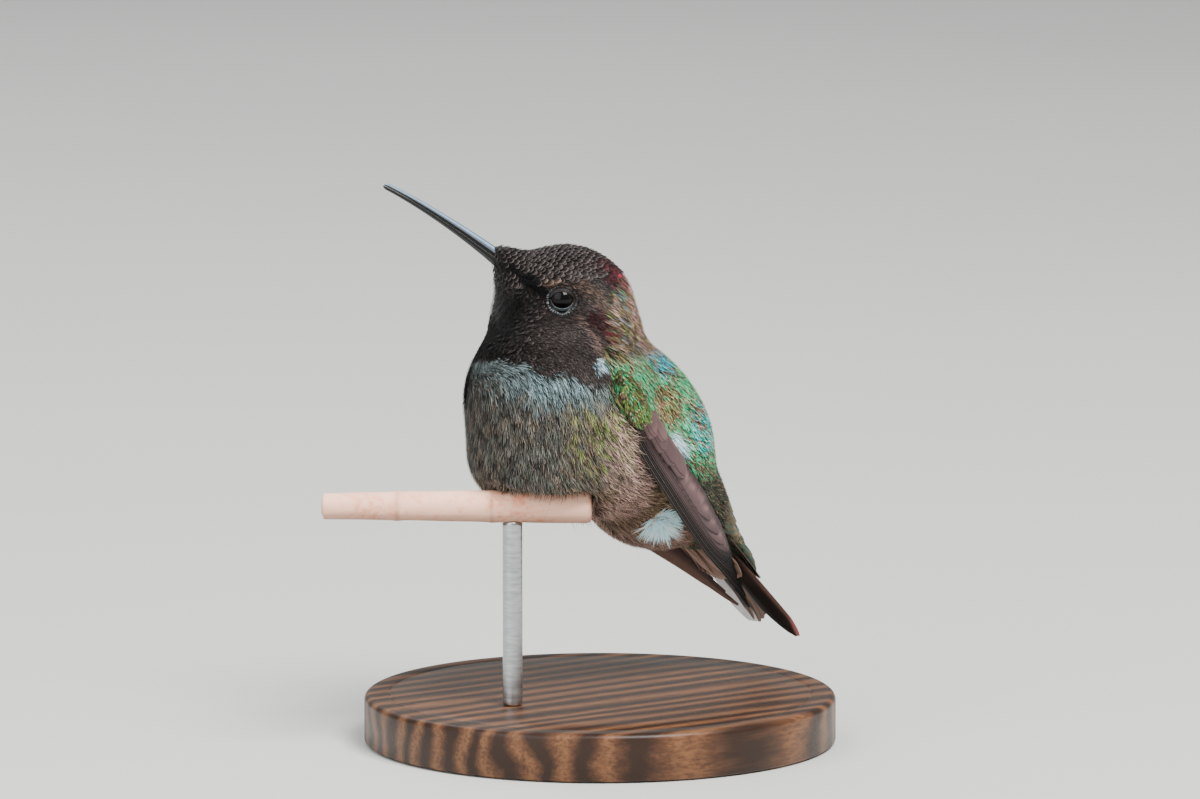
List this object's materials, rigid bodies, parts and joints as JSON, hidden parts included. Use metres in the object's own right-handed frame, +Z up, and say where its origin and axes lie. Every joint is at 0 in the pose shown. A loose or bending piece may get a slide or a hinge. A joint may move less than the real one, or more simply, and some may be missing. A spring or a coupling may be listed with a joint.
{
  "type": "perched hummingbird figure",
  "caption": "Life-size still figure of a small green and grey hummingbird with a dark throat, gripping a cut twig on a plain display stand.",
  "frame": {"origin": "the middle of the stand's flat underside", "axes": "+Z up; the trunk faces -Y and the bird's left side is +X; the head is turned 40 degrees to the bird's right; the twig runs 50 degrees from +X, level"},
  "size_m": [0.06, 0.0637, 0.0714],
  "materials": {
    "crown_and_gorget": "small overlapping dark feathers, faintly glossy, with pale rims and a few rose ones",
    "neck": "soft overlapping feathers, olive behind, pale grey in front",
    "body_coat": "soft hair-like feathers, streaked grey-brown and olive below, metallic green above",
    "wing_coverts": "small rounded iridescent green feathers",
    "wing_feathers": "smooth flight feathers, satin",
    "tail_feathers": "smooth flight feathers, satin, the outer ones tipped white",
    "bill": "smooth dark horn, satin",
    "eye": "wet gloss",
    "foot_skin": "fine scaly skin, matte",
    "twig": "peeled bark, smooth, satin",
    "stand_rod": "satin steel",
    "stand_base": "dark stained, satin"
  },
  "bodies": {
    "root": {"head": "crown_and_gorget", "neck": "neck", "trunk": "body_coat", "bill_upper": "bill", "bill_lower": "bill", "eye_left": "eye", "eye_right": "eye", "tail": "tail_feathers", "wing_left_arm": "wing_coverts", "wing_left_secondaries": "wing_feathers", "wing_left_primaries": "wing_feathers", "leg_left": "body_coat", "foot_left": "foot_skin", "wing_right_arm": "wing_coverts", "wing_right_secondaries": "wing_feathers", "wing_right_primaries": "wing_feathers", "leg_right": "body_coat", "foot_right": "foot_skin", "perch": "twig", "stand_rod": "stand_rod", "stand_base": "stand_base"}
  },
  "joints": []
}
